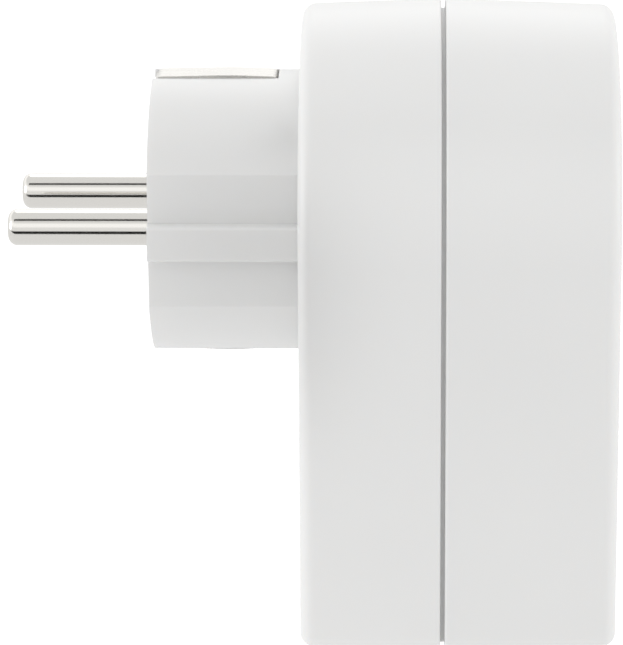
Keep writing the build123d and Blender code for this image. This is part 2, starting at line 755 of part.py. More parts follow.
# ---- Main board ----
def main_board():
    board = block(-main_board_half_width, main_board_half_width, main_board_front_y, main_board_rear_y,
                  main_board_bottom_z, main_board_top_z)
    board = fillet(board.edges().filter_by(Axis.Y), 1.0)
    board -= block(-main_board_notch_half, main_board_notch_half, main_board_front_y - 1,
                   main_board_rear_y + 1,
                   main_board_notch_z, main_board_top_z + 1)
    for x, z in BOARD_SCREWS:
        board -= rod(x, z, small_screw_radius + screw_clearance, main_board_front_y - 1,
                     main_board_rear_y + 1)
    tab_top_z = contact_tab_z + contact_thickness + contact_entry_clearance
    tab_half = contact_tab_width / 2 + contact_entry_clearance
    for side in SIDES:
        board -= rod(side * wire_x, wire_board_z, wire_core + 2 * part_gap, main_board_front_y - 1,
                     main_board_rear_y + 1)
        tab = side * contact_tab_x
        board -= block(tab - tab_half, tab + tab_half, main_board_front_y - 1, main_board_rear_y + 1,
                       contact_tab_z - contact_entry_clearance, tab_top_z)
    return board


def on_main_board(height):
    """Depths of a part that stands on the front of the main board."""
    return main_board_front_y - part_gap - height, main_board_front_y - part_gap


def shunt():
    """Manganin bridge in the line path, bent down to the board at both ends."""
    y0, y1 = on_main_board(shunt_height)
    body = block(shunt_x - shunt_length / 2, shunt_x + shunt_length / 2, y0, y1, shunt_z - shunt_width / 2,
                 shunt_z + shunt_width / 2)
    body = fillet(body.edges().filter_by(Axis.Z).sort_by(Axis.Y)[:2], 1.0)
    inner = block(shunt_x - shunt_length / 2 + 0.8, shunt_x + shunt_length / 2 - 0.8, y0 + 0.8, y1 + 1,
                  shunt_z - shunt_width, shunt_z + shunt_width)
    return body - inner


def box_part(x, z, width, height, tall, corner):
    """A moulded box standing on the front of the main board, with rounded edges towards the front."""
    y0, y1 = on_main_board(tall)
    body = block(x - width / 2, x + width / 2, y0, y1, z - height / 2, z + height / 2)
    return fillet(body.edges().filter_by_position(Axis.Y, y0 - 0.01, (y0 + y1) / 2), corner)


def smoothing_capacitor():
    """Can capacitor lying on the board along X, with its crimp groove."""
    centre_y = main_board_front_y - part_gap - can_radius
    body = Pos(can_x, centre_y, can_z) * Rot(0, 90, 0) * Cylinder(can_radius, can_length)
    body = fillet(body.edges().filter_by(GeomType.CIRCLE), 0.6)
    groove = Rot(0, 90, 0) * (Cylinder(can_radius + 1, 1.0) - Cylinder(can_radius - 0.4, 1.0))
    return body - Pos(can_x + can_length / 2 - 2.5, centre_y, can_z) * groove


def varistor():
    y0, y1 = on_main_board(varistor_radius * 2 + 1.5)
    disc = Pos(varistor_x, y0 + varistor_radius, varistor_z) * Rot(0, 90, 0) * Cylinder(varistor_radius,
                                                                                        varistor_thick)
    body = fillet(disc.edges(), 1.2)
    for step in (-1, 1):
        body += block(varistor_x - 0.35, varistor_x + 0.35, y1 - 4.0, y1,
                      varistor_z + step * 2.5 - 0.35, varistor_z + step * 2.5 + 0.35)
    return body


def fuse():
    y0, y1 = on_main_board(fuse_height)
    return fillet(rod(fuse_x, fuse_z, fuse_radius, y0, y1).edges().filter_by_position(Axis.Y, y0 - 0.01,
                                                                                      y0 + 0.01), 0.4)


def chip(x, z, width, height, tall, legs, front_y_of_board, towards):
    """Flat chip with gull-wing legs down its two long sides."""
    y_a = front_y_of_board + towards * part_gap
    edge = width / 2
    low, high = tall * 0.4, tall * 0.4 + leg_thickness
    body = block(x - edge, x + edge, y_a + towards * part_gap, y_a + towards * tall, z - height / 2,
                 z + height / 2)
    pitch = height / legs
    leg_half = pitch * leg_share / 2
    for n in range(legs):
        leg_z = z - height / 2 + (n + 0.5) * pitch
        for side in SIDES:
            # out of the body, down to the board, and out again along it
            for start, end, y0, y1 in ((-leg_thickness, leg_out, low, high),
                                       (leg_out - leg_thickness, leg_out, 0, high),
                                       (leg_out - leg_thickness, leg_reach, 0, leg_thickness)):
                body += block(x + side * (edge + start), x + side * (edge + end), y_a + towards * y0,
                              y_a + towards * y1, leg_z - leg_half, leg_z + leg_half)
    return body


def resistor(x, z):
    """Axial resistor lying along Z, its leads bent down to the board."""
    y = main_board_front_y - part_gap - resistor_radius
    body = Pos(x, y, z) * Cylinder(resistor_radius, resistor_length)
    body = fillet(body.edges().filter_by(GeomType.CIRCLE), 0.5)
    reach = resistor_length / 2 + 1.4
    body += Pos(x, y, z) * Cylinder(0.3, 2 * reach + 0.2)
    for end in SIDES:
        body += rod(x, z + end * reach, 0.3, y, main_board_front_y - part_gap)
    return body


def ribbon_cable():
    """Flat cable between the two boards, with a slack fold between its connectors."""
    y0 = main_board_front_y - connector_height - 2 * part_gap
    y1 = display_board_rear_y + connector_height + 2 * part_gap
    middle = (y0 + y1) / 2
    points = [(y0, ribbon_main_z), (middle + 1.5, ribbon_main_z), (middle - 1.5, ribbon_display_z),
              (y1, ribbon_display_z)]
    return bent_strip(points, 0.4, ribbon_width, 2.2, x=ribbon_x)


def connector(z, y_board, towards):
    body = block(ribbon_x - ribbon_width / 2 - 1.4, ribbon_x + ribbon_width / 2 + 1.4,
                 y_board + towards * part_gap,
                 y_board + towards * connector_height, z - 2.0, z + 2.4)
    slot = block(ribbon_x - ribbon_width / 2 - 0.2, ribbon_x + ribbon_width / 2 + 0.2,
                 y_board + towards * (connector_height - 2), y_board + towards * (connector_height + 1),
                 z - 0.2, z + 0.6)
    return body - slot


# ---- Display board, display and keys ----
def display_board():
    front, rear = display_board_front_y, display_board_rear_y
    board = block(-display_board_half_width, display_board_half_width, front, rear,
                  display_board_bottom_z, display_board_top_z)
    for x, z in LOWER_SCREWS:
        reach = screw_radius + thread_clearance + post_wall + board_clearance
        sign = math.copysign(1, x)
        board -= block(x - sign * reach, sign * (display_board_half_width + 1), front - 1, rear + 1,
                       display_board_bottom_z - 1, z + reach)
    for side in SIDES:
        board -= rod(side * display_post_x, display_post_z, small_screw_radius + screw_clearance, front - 1,
                     rear + 1)
    return board


def glass_box(reach, y0, y1):
    return prism(Pos(0, lens_centre_z) * Rectangle(glass_width + 2 * reach, glass_height + 2 * reach), y0,
                 y1)


def lcd_glass():
    """Two bonded plates; the front one is shorter, which leaves the contact ledge at the bottom."""
    rear = glass_box(0, glass_front_y + glass_plate, glass_rear_y)
    front = glass_box(0, glass_front_y, glass_front_y + glass_plate)
    low = lens_centre_z - glass_height / 2
    return rear + front - block(-glass_width, glass_width, glass_front_y + glass_plate, glass_front_y - 1,
                                low + glass_ledge, low - 1)


def lcd_frame():
    """Open frame on the display board that holds the glass over its contact strips."""
    frame = glass_box(holder_wall + part_gap * 2, front_wall_y + 2 * part_gap,
                      display_board_front_y - part_gap)
    frame -= glass_box(2 * part_gap, front_wall_y - 1, glass_rear_y + part_gap)
    return frame - glass_box(-holder_ledge, front_wall_y - 1, display_board_front_y + 1)


def zebra_strip(side):
    """Elastomer contact strip pressed between the glass and the board."""
    z = lens_centre_z + side * (glass_height / 2 - holder_ledge - part_gap * 2 - zebra_width / 2)
    half = glass_width / 2 - holder_ledge - part_gap * 2
    return block(-half, half, glass_rear_y + part_gap, display_board_front_y - part_gap,
                 z - zebra_width / 2, z + zebra_width / 2)


def key_mat():
    """Rubber sheet on the board under the keys."""
    left, right = key_xs[0] - key_width / 2 - 1.0, reset_x + reset_radius + 1.6
    low, high = key_z - key_height / 2 - key_flange, key_z + key_height / 2 + key_flange
    return block(left, right, mat_front_y, display_board_front_y - part_gap, low, high)


def dome(x):
    """Collapsible rubber dome that returns a key."""
    base_y, top_y = mat_front_y - part_gap, flange_rear_y + 2 * part_gap
    outer = [(0, base_y), (dome_base_radius, base_y), (dome_top_radius, top_y), (0, top_y)]
    thin = dome_wall
    inner = [(0, base_y + 1), (dome_base_radius - thin, base_y + 1), (dome_base_radius - thin, base_y),
             (dome_top_radius - thin, top_y + 2 * thin), (0, top_y + 2 * thin)]
    return turned(outer, x, key_z) - turned(inner, x, key_z)


def key(x):
    """Stadium-shaped cap with a flange that keeps it behind the wall."""
    cap = prism(Pos(x, key_z) * SlotOverall(key_width, key_height), front_y - key_proud, flange_rear_y)
    cap = fillet(rims(cap, front_y - key_proud), key_round)
    flange = SlotOverall(key_width + 2 * key_flange, key_height + 2 * key_flange)
    return cap + prism(Pos(x, key_z) * flange, flange_front_y, flange_rear_y)


def key_reset():
    """Small recessed round key."""
    cap = rod(reset_x, key_z, reset_radius, front_y + reset_sink, flange_rear_y)
    cap = fillet(rims(cap, front_y + reset_sink), key_round / 2)
    return cap + rod(reset_x, key_z, reset_radius + key_flange, flange_front_y, flange_rear_y)


def backup_cell():
    y0 = display_board_rear_y + cell_lift
    body = rod(cell_x, cell_z, cell_radius, y0, y0 + cell_thickness)
    return fillet(body.edges().filter_by(GeomType.CIRCLE), 0.4)


def cell_holder():
    """Ring on the rear of the display board, open at the front of the cell and with two retaining claws."""
    y0 = display_board_rear_y + part_gap
    y1 = y0 + cell_lift + cell_thickness - part_gap
    ring = rod(cell_x, cell_z, cell_radius + 1.4, y0, y1 + 0.8)
    ring -= rod(cell_x, cell_z, cell_radius + 0.15, display_board_rear_y + cell_lift - part_gap, y1 + 2)
    opening = cell_radius + 3
    ring -= block(cell_x - opening, cell_x + opening, y0 + cell_lift, y1 + 2, cell_z - cell_radius * 0.55,
                  cell_z + cell_radius * 0.55)
    return ring


# ---- Writing the nodes ----
os.makedirs("parts", exist_ok=True)

save("rear_shell", rear_shell())
save("front_shell", front_shell())
save("housing_screws", *[screw(x, z, screw_head_y, screw_length, screw_radius, screw_head_radius,
                               screw_head)
                         for x, z in UPPER_SCREWS + LOWER_SCREWS])
save("rating_plate", rating_plate())
save("display_lens", lens())

save("plug_body", plug_body())
save("plug_pin_line", plug_pin(pin_x))
save("plug_pin_neutral", plug_pin(-pin_x))
save("plug_earth_strip", plug_earth_strip())
save("earth_bridge", earth_bridge())
save("wire_line", wire(1))
save("wire_neutral", wire(-1))

save("socket_cup", socket_cup())
save("outlet_earth_clip_upper", outlet_earth_clip(1))
save("outlet_earth_clip_lower", outlet_earth_clip(-1))
save("shutter", shutter())
save("shutter_spring", shutter_spring())
save("contact_carrier", contact_carrier())
save("carrier_screws", *[small_screw(0, side * carrier_ear_z, carrier_pocket_y + part_gap,
                                     -1) for side in SIDES])
save("outlet_contact_line", outlet_contact(1))
save("outlet_contact_neutral", outlet_contact(-1))

save("main_board", main_board())
save("board_screws", *[small_screw(x, z, main_board_front_y - part_gap, 1) for x, z in BOARD_SCREWS])
save("shunt", shunt())
save("suppression_capacitor", box_part(xcap_x, xcap_z, xcap_width, xcap_height, xcap_tall, 0.6))
save("smoothing_capacitor", smoothing_capacitor())
save("varistor", varistor())
save("fuse", fuse())
save("bridge_rectifier", box_part(rectifier_x, rectifier_z, rectifier_width, rectifier_height,
                                  rectifier_tall, 0.3))
save("metering_chip", chip(meter_x, meter_z, meter_width, meter_height, meter_tall, meter_legs,
                           main_board_front_y, -1))
save("crystal", box_part(crystal_x, crystal_z, crystal_width, crystal_height, crystal_tall, 0.5))
save("sense_resistors", *[resistor(x, z) for x, z in resistor_places])
save("main_connector", connector(ribbon_main_z, main_board_front_y, -1))
save("display_connector", connector(ribbon_display_z, display_board_rear_y, 1))
save("ribbon_cable", ribbon_cable())

save("display_board", display_board())
save("display_screws", *[small_screw(side * display_post_x, display_post_z, display_board_rear_y + part_gap,
                                     -1)
                         for side in SIDES])
save("microcontroller", chip(mcu_x, mcu_z, mcu_size, mcu_size, mcu_tall, mcu_legs,
                             display_board_rear_y, 1))
save("backup_cell", backup_cell())
save("cell_holder", cell_holder())
save("lcd_frame", lcd_frame())
save("lcd_glass", lcd_glass())
save("zebra_strips", zebra_strip(1), zebra_strip(-1))
save("key_mat", key_mat())
for name, x in zip(key_names, key_xs):
    save(name, key(x))
    save(name.replace("key", "dome"), dome(x))
save("key_reset", key_reset())
save("dome_reset", dome(reset_x))
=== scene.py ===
import math

import bmesh
import bpy
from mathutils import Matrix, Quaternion, Vector


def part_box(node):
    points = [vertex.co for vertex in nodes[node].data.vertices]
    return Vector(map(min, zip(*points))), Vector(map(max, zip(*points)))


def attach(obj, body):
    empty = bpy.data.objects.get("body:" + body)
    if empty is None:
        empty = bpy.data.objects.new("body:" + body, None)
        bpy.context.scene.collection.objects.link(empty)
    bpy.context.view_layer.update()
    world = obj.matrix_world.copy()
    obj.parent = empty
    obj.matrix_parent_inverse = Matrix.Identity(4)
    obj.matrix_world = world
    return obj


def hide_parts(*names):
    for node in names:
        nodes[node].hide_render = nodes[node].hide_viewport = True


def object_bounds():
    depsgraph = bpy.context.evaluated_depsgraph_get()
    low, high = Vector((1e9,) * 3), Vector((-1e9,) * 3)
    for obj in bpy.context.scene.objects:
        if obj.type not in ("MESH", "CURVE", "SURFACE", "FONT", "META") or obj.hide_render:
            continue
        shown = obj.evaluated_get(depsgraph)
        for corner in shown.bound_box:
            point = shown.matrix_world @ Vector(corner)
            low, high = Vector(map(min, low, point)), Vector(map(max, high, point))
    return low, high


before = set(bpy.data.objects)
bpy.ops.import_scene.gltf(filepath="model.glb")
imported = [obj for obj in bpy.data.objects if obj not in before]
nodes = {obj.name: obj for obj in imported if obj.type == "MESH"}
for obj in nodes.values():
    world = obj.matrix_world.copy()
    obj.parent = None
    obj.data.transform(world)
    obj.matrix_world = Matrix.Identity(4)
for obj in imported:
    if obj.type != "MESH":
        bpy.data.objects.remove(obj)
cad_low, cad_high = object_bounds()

scene = bpy.context.scene
mm = 0.001


# ---- Table, light and camera ----
# The meter is shown on white, held in the air as it is in a wall outlet: a pale table well below it,
# an even white room with a dark floor beyond the table's near edge, and a soft light above and behind.
table_drop = 0.30
table_near = 0.62
table_far = 4.0
room_level = 0.90
glossy_level = 1.05
table_glow = 0.72
camera_aim = Vector((0.0, -0.00097, -0.01579))
camera_distance = 0.4964
camera_elevation = math.radians(16.555)
camera_turn = math.radians(1.674)
camera_roll = math.radians(-0.357)
camera_lens = 206.1


def put(tree, kind, inputs=None, **settings):
    """Adds a node to a tree, and feeds its inputs from plain values or from other nodes' sockets."""
    node = tree.nodes.new(kind)
    for setting, value in settings.items():
        setattr(node, setting, value)
    for socket, value in (inputs or {}).items():
        if isinstance(value, bpy.types.NodeSocket):
            tree.links.new(value, node.inputs[socket])
        else:
            node.inputs[socket].default_value = value
    return node


def shader(name):
    """A new material with its node tree, and the Principled BSDF to build on."""
    material = bpy.data.materials.new(name)
    material.use_nodes = True
    tree = material.node_tree
    return material, tree, tree.nodes["Principled BSDF"]


def stage_sheet(name, corners, material):
    mesh = bpy.data.meshes.new(name)
    mesh.from_pydata(corners, [], [(0, 1, 2, 3)])
    mesh.materials.append(material)
    sheet = bpy.data.objects.new(name, mesh)
    scene.collection.objects.link(sheet)
    return sheet


def make_table():
    """Matt white board that stops short on the near side; it is plain white to the camera."""
    material, tree, bsdf = shader("white_table")
    grain = put(tree, "ShaderNodeTexNoise", {"Scale": 40.0})
    tone = put(tree, "ShaderNodeMapRange", {"Value": grain.outputs["Fac"], "To Min": 0.55, "To Max": 0.65})
    tree.links.new(tone.outputs["Result"], bsdf.inputs["Roughness"])
    bsdf.inputs["Base Color"].default_value = (0.2, 0.2, 0.2, 1)
    bsdf.inputs["Emission Color"].default_value = (1, 1, 1, 1)
    path = put(tree, "ShaderNodeLightPath")
    glow = put(tree, "ShaderNodeMapRange", {"Value": path.outputs["Is Camera Ray"], "To Min": table_glow,
                                                "To Max": 1.0})
    tree.links.new(glow.outputs["Result"], bsdf.inputs["Emission Strength"])
    low = cad_low.z - table_drop
    stage_sheet("table_top", [(-table_near, -table_far, low), (table_far, -table_far, low),
                              (table_far, table_far, low), (-table_near, table_far, low)], material)


def make_room():
    """Even white room with a dark floor in its reflections; the camera sees pure white."""
    world = bpy.data.worlds.new("white_room")
    world.use_nodes = True
    tree = world.node_tree
    background = tree.nodes["Background"]
    place = put(tree, "ShaderNodeTexCoord")
    split = put(tree, "ShaderNodeSeparateXYZ", {"Vector": place.outputs["Generated"]})
    height = put(tree, "ShaderNodeMapRange", {"Value": split.outputs["Z"], "From Min": -1.0})
    ramp = put(tree, "ShaderNodeValToRGB", {"Fac": height.outputs["Result"]})
    stops = ramp.color_ramp.elements
    stops[0].position, stops[0].color = 0.385, (0.01, 0.01, 0.01, 1)
    stops[1].position, stops[1].color = 0.415, (1.0, 1.0, 0.995, 1)
    for position, level in ((0.56, 0.95), (0.65, 1.25), (0.77, 1.25), (0.84, 0.92)):
        stops.new(position).color = (level, level, level * 0.995, 1)
    path = put(tree, "ShaderNodeLightPath")
    tree.links.new(ramp.outputs["Color"], background.inputs["Color"])
    background.inputs["Strength"].default_value = glossy_level
    even = put(tree, "ShaderNodeBackground", {"Color": (1, 1, 0.997, 1), "Strength": room_level})
    lit = put(tree, "ShaderNodeMixShader", {0: path.outputs["Is Glossy Ray"], 1: even.outputs["Background"],
                                            2: background.outputs["Background"]})
    white = put(tree, "ShaderNodeBackground", {"Color": (1, 1, 1, 1), "Strength": 1.05})
    mix = put(tree, "ShaderNodeMixShader", {0: path.outputs["Is Camera Ray"], 1: lit.outputs["Shader"],
                                            2: white.outputs["Background"]})
    tree.links.new(mix.outputs["Shader"], tree.nodes["World Output"].inputs["Surface"])
    scene.world = world


def make_light(name, place, size, power, aim=Vector((0, -0.01, -0.01))):
    data = bpy.data.lights.new(name, "AREA")
    data.shape = "DISK"
    data.size = size
    data.energy = power
    light = bpy.data.objects.new(name, data)
    light.location = place
    light.rotation_mode = "QUATERNION"
    light.rotation_quaternion = (aim - Vector(place)).to_track_quat("-Z", "Y")
    scene.collection.objects.link(light)


def make_card(name, centre, across, tall, in_diffuse):
    """Black card that faces the plug from its side, to shape what the plug and the pins reflect."""
    material, tree, bsdf = shader(name)
    grain = put(tree, "ShaderNodeTexNoise", {"Scale": 90.0})
    tone = put(tree, "ShaderNodeMapRange", {"Value": grain.outputs["Fac"], "To Min": 0.7, "To Max": 0.9})
    tree.links.new(tone.outputs["Result"], bsdf.inputs["Roughness"])
    bsdf.inputs["Base Color"].default_value = (0.02, 0.02, 0.02, 1)
    middle = Vector(centre)
    up = middle.normalized().cross(Vector((0, 1, 0))).normalized() * tall / 2
    side = Vector((0, across / 2, 0))
    corners = [middle - side - up, middle + side - up, middle + side + up, middle - side + up]
    card = stage_sheet(name, corners, material)
    card.visible_camera = False
    card.visible_shadow = in_diffuse
    card.visible_diffuse = in_diffuse


def make_camera():
    flat = math.cos(camera_elevation)
    back = Vector((-flat * math.cos(camera_turn), -flat * math.sin(camera_turn), math.sin(camera_elevation)))
    data = bpy.data.cameras.new("camera")
    data.lens = camera_lens
    data.sensor_width = 36.0
    data.clip_start = 0.01
    camera = bpy.data.objects.new("camera", data)
    camera.location = camera_aim + back * camera_distance
    camera.rotation_mode = "QUATERNION"
    camera.rotation_quaternion = (-back).to_track_quat("-Z", "Y") @ Quaternion((0, 0, 1), camera_roll)
    scene.collection.objects.link(camera)
    scene.camera = camera


make_table()
make_room()
make_light("light_behind_top", (0.75, -0.05, 0.75), 0.8, 1.4)
make_light("light_beyond_plug", (-0.12, 0.6, 0.1), 0.35, 0.85)
make_light("light_in_front", (-0.06, -0.6, 0.1), 0.35, 0.45)
make_card("card_beside_plug", (-0.040, 0.0085, -0.002), 0.010, 0.030, True)
make_card("card_over_pins", (-0.25, 0.02, 0.43), 0.5, 0.11, False)
make_camera()
scene.view_settings.view_transform = "Standard"


# ---- Housing shells, plug body and outlet cup ----
# Injection moulded in white ABS. The two shells are screwed together from the back with an open groove
# along the seam, and the skin is satin with the fine spark texture of the mould.
def group(name, inputs, outputs):
    """An empty shader node group with named inputs and outputs."""
    tree = bpy.data.node_groups.new(name, "ShaderNodeTree")
    for label, kind, value in inputs:
        tree.interface.new_socket(label, in_out="INPUT", socket_type=kind).default_value = value
    for label, kind in outputs:
        tree.interface.new_socket(label, in_out="OUTPUT", socket_type=kind)
    return tree, tree.nodes.new("NodeGroupInput").outputs, tree.nodes.new("NodeGroupOutput").inputs


def make_moulded_skin():
    """Fine spark texture of a mould, with slow drifts in gloss and tone over the surface."""
    tree, given, result = group(
        "moulded_skin",
        [("Colour", "NodeSocketColor", (0.8, 0.8, 0.8, 1)), ("Roughness", "NodeSocketFloat", 0.35),
         ("Grain Size", "NodeSocketFloat", 2500.0), ("Drift", "NodeSocketFloat", 0.02)],
        [("Colour", "NodeSocketColor"), ("Roughness", "NodeSocketFloat"), ("Height", "NodeSocketFloat")])
    place = put(tree, "ShaderNodeTexCoord").outputs["Object"]
    fine = put(tree, "ShaderNodeTexNoise", {"Vector": place, "Scale": given["Grain Size"], "Detail": 3.0})
    slow = put(tree, "ShaderNodeTexNoise", {"Vector": place, "Scale": 55.0, "Detail": 2.0})
    centred = put(tree, "ShaderNodeMath", {0: slow.outputs["Fac"], 1: 0.5}, operation="SUBTRACT")
    drift = put(tree, "ShaderNodeMath", {0: centred.outputs[0], 1: given["Drift"]}, operation="MULTIPLY")
    shade = put(tree, "ShaderNodeMath", {0: drift.outputs[0], 1: 1.0}, operation="ADD")
    tinted = put(tree, "ShaderNodeVectorMath",
                 {0: given["Colour"], "Scale": shade.outputs[0]}, operation="SCALE")
    gloss = put(tree, "ShaderNodeMath", {0: drift.outputs[0], 1: 2.5, 2: given["Roughness"]},
                operation="MULTIPLY_ADD")
    tree.links.new(tinted.outputs["Vector"], result["Colour"])
    tree.links.new(gloss.outputs[0], result["Roughness"])
    tree.links.new(fine.outputs["Fac"], result["Height"])
    return tree


moulded_skin = make_moulded_skin()


def moulded(name, colour, roughness, grain=2500.0, strength=0.25, drift=0.03, edge=0.15 * mm):
    """Moulded plastic: the skin group, a fine bump and slightly rounded edges."""
    material, tree, bsdf = shader(name)
    skin = put(tree, "ShaderNodeGroup", node_tree=moulded_skin)
    skin.inputs["Colour"].default_value = (*colour, 1)
    skin.inputs["Roughness"].default_value = roughness
    skin.inputs["Grain Size"].default_value = grain
    skin.inputs["Drift"].default_value = drift
    rounded = put(tree, "ShaderNodeBevel", {"Radius": edge}, samples=4)
    bump = put(tree, "ShaderNodeBump", {"Strength": strength, "Distance": 0.02 * mm,
                                        "Height": skin.outputs["Height"],
                                        "Normal": rounded.outputs["Normal"]})
    tree.links.new(skin.outputs["Colour"], bsdf.inputs["Base Color"])
    tree.links.new(skin.outputs["Roughness"], bsdf.inputs["Roughness"])
    tree.links.new(bump.outputs["Normal"], bsdf.inputs["Normal"])
    return material


def dress(material, *names):
    """Gives carried-over CAD nodes a material."""
    for name in names:
        mesh = nodes[name].data
        mesh.materials.clear()
        mesh.materials.append(material)


white_plastic = moulded("white_plastic", (0.80, 0.80, 0.795), 0.38, drift=0.02)
white_bsdf = white_plastic.node_tree.nodes["Principled BSDF"]
white_bsdf.inputs["Subsurface Weight"].default_value = 0.15
white_bsdf.inputs["Subsurface Radius"].default_value = (0.004, 0.0035, 0.003)
white_bsdf.inputs["Subsurface Scale"].default_value = 0.5
dress(white_plastic, "rear_shell", "front_shell", "plug_body", "socket_cup")


# ---- Plug pins ----
# Two brass pins turned from 4.8 mm rod and nickel plated, with a rounded tip, a collar in the plug's
# face, a shoulder behind it, and a drilled solder tail inside. Fine turning marks run round them.
pin_radius = 2.4 * mm
pin_collar_radius = 2.6 * mm
pin_collar_proud = 0.3 * mm
pin_shoulder_radius = 3.4 * mm
pin_shoulder = 1.6 * mm
pin_tail_radius = 1.8 * mm
pin_tail = 5.8 * mm
pin_face = 3.0 * mm
pin_cup_radius = 1.0 * mm
pin_cup = 2.0 * mm
pin_tip_round = 1.2 * mm
pin_chamfer = 0.12 * mm


def make_metal_surface():
    """Drawing or turning lines along one direction, with faint smudges in the gloss."""
    tree, given, result = group(
        "metal_surface",
        [("Stretch", "NodeSocketVector", (1, 1, 1)), ("Lines", "NodeSocketFloat", 300.0),
         ("Roughness", "NodeSocketFloat", 0.2), ("Smudge", "NodeSocketFloat", 0.1)],
        [("Roughness", "NodeSocketFloat"), ("Height", "NodeSocketFloat")])
    place = put(tree, "ShaderNodeTexCoord").outputs["Object"]
    drawn = put(tree, "ShaderNodeVectorMath", {0: place, 1: given["Stretch"]}, operation="MULTIPLY")
    lines = put(tree, "ShaderNodeTexNoise",
                {"Vector": drawn.outputs[0], "Scale": given["Lines"], "Detail": 4.0})
    spots = put(tree, "ShaderNodeTexNoise", {"Vector": place, "Scale": 260.0, "Detail": 3.0})
    both = put(tree, "ShaderNodeMath",
               {0: lines.outputs["Fac"], 1: spots.outputs["Fac"]}, operation="MULTIPLY")
    gloss = put(tree, "ShaderNodeMath", {0: both.outputs[0], 1: given["Smudge"], 2: given["Roughness"]},
                operation="MULTIPLY_ADD")
    tree.links.new(gloss.outputs[0], result["Roughness"])
    tree.links.new(lines.outputs["Fac"], result["Height"])
    return tree


metal_surface = make_metal_surface()


def metal(name, colour, roughness, stretch=(1, 1, 1), lines=900.0, smudge=0.12, strength=0.1,
          edge=0.06 * mm):
    material, tree, bsdf = shader(name)
    surface = put(tree, "ShaderNodeGroup", node_tree=metal_surface)
    surface.inputs["Stretch"].default_value = stretch
    surface.inputs["Lines"].default_value = lines
    surface.inputs["Roughness"].default_value = roughness
    surface.inputs["Smudge"].default_value = smudge
    rounded = put(tree, "ShaderNodeBevel", {"Radius": edge}, samples=4)
    bump = put(tree, "ShaderNodeBump", {"Strength": strength, "Distance": 0.01 * mm,
                                        "Height": surface.outputs["Height"],
                                        "Normal": rounded.outputs["Normal"]})
    tree.links.new(surface.outputs["Roughness"], bsdf.inputs["Roughness"])
    tree.links.new(bump.outputs["Normal"], bsdf.inputs["Normal"])
    bsdf.inputs["Base Color"].default_value = (*colour, 1)
    bsdf.inputs["Metallic"].default_value = 1.0
    return material


def turned(profile, centre, segments=96):
    """Mesh turned about a line along Y through centre, from (radius, y) points that run round the solid."""
    bm = bmesh.new()
    rings = []
    for radius, y in profile:
        count = segments if radius > 1e-7 else 1
        rings.append([bm.verts.new((centre.x + radius * math.cos(turn), y,
                                    centre.z + radius * math.sin(turn)))
                      for turn in (math.tau * step / segments for step in range(count))])
    for here, there in zip(rings, rings[1:]):
        for n in range(segments):
            corners = [here[n % len(here)], here[(n + 1) % len(here)],
                       there[(n + 1) % len(there)], there[n % len(there)]]
            bm.faces.new(list(dict.fromkeys(corners)))
    bmesh.ops.recalc_face_normals(bm, faces=bm.faces)
    return bm


def add_piece(name, bm, material, body, slot, *stands_for):
    """Turns a bmesh into a smooth-shaded piece that rides on a body and may stand for CAD nodes."""
    mesh = bpy.data.meshes.new(name)
    bm.to_mesh(mesh)
    bm.free()
    mesh.polygons.foreach_set("use_smooth", [True] * len(mesh.polygons))
    mesh.set_sharp_from_angle(angle=math.radians(30))
    mesh.materials.append(material)
    piece = bpy.data.objects.new(name, mesh)
    scene.collection.objects.link(piece)
    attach(piece, body)
    if stands_for:
        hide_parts(*stands_for)
    return piece


def quarter(radius_at, y_at, radius, steps=10):
    """Points of a quarter round from the side of a turned piece to its end face."""
    turns = (math.pi / 2 * step / steps for step in range(steps + 1))
    return [(radius_at + radius * math.cos(turn), y_at + radius * math.sin(turn)) for turn in turns]


nickel = metal("nickel", (0.70, 0.685, 0.655), 0.10, stretch=(0.04, 1.0, 0.04), lines=2600.0, smudge=0.10)
for name in ("plug_pin_line", "plug_pin_neutral"):
    low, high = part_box(name)
    tail_y = low.y
    seat_y = tail_y + pin_tail + pin_shoulder
    face_y = seat_y + pin_face
    profile = [(0, tail_y + pin_cup), (pin_cup_radius, tail_y + pin_cup),
               (pin_cup_radius, tail_y + pin_chamfer),
               (pin_cup_radius + pin_chamfer, tail_y), (pin_tail_radius - pin_chamfer, tail_y),
               (pin_tail_radius, tail_y + pin_chamfer), (pin_tail_radius, tail_y + pin_tail),
               (pin_shoulder_radius - pin_chamfer, tail_y + pin_tail),
               (pin_shoulder_radius, tail_y + pin_tail + pin_chamfer),
               (pin_shoulder_radius, seat_y - pin_chamfer),
               (pin_shoulder_radius - pin_chamfer, seat_y), (pin_collar_radius, seat_y),
               (pin_collar_radius, face_y + pin_collar_proud - pin_chamfer),
               (pin_collar_radius - pin_chamfer, face_y + pin_collar_proud),
               (pin_radius, face_y + pin_collar_proud)]
    profile += quarter(pin_radius - pin_tip_round, high.y - pin_tip_round, pin_tip_round) + [(0, high.y)]
    add_piece(name + "_turned", turned(profile, (low + high) / 2), nickel, "meter", "nickel_plate", name)


# ---- Earth strip and earth clips ----
# One spring strip, nickel plated, is folded over the plug's face and lies in channels above and below.
# The outlet's clips are of the same sheet, with its rolling lines along the length.
strip_nickel = metal("strip_nickel", (0.68, 0.665, 0.635), 0.22, stretch=(1.0, 0.05, 0.05), lines=1800.0,
                     smudge=0.2, strength=0.16)
dress(strip_nickel, "plug_earth_strip", "outlet_earth_clip_upper", "outlet_earth_clip_lower")


# ---- Rating plate ----
# Blank satin aluminium foil stuck in its shallow panel on the back, brushed sideways, with a thin
# printed frame line and no wording.
plate_border = 1.1 * mm
plate_line = 0.25 * mm


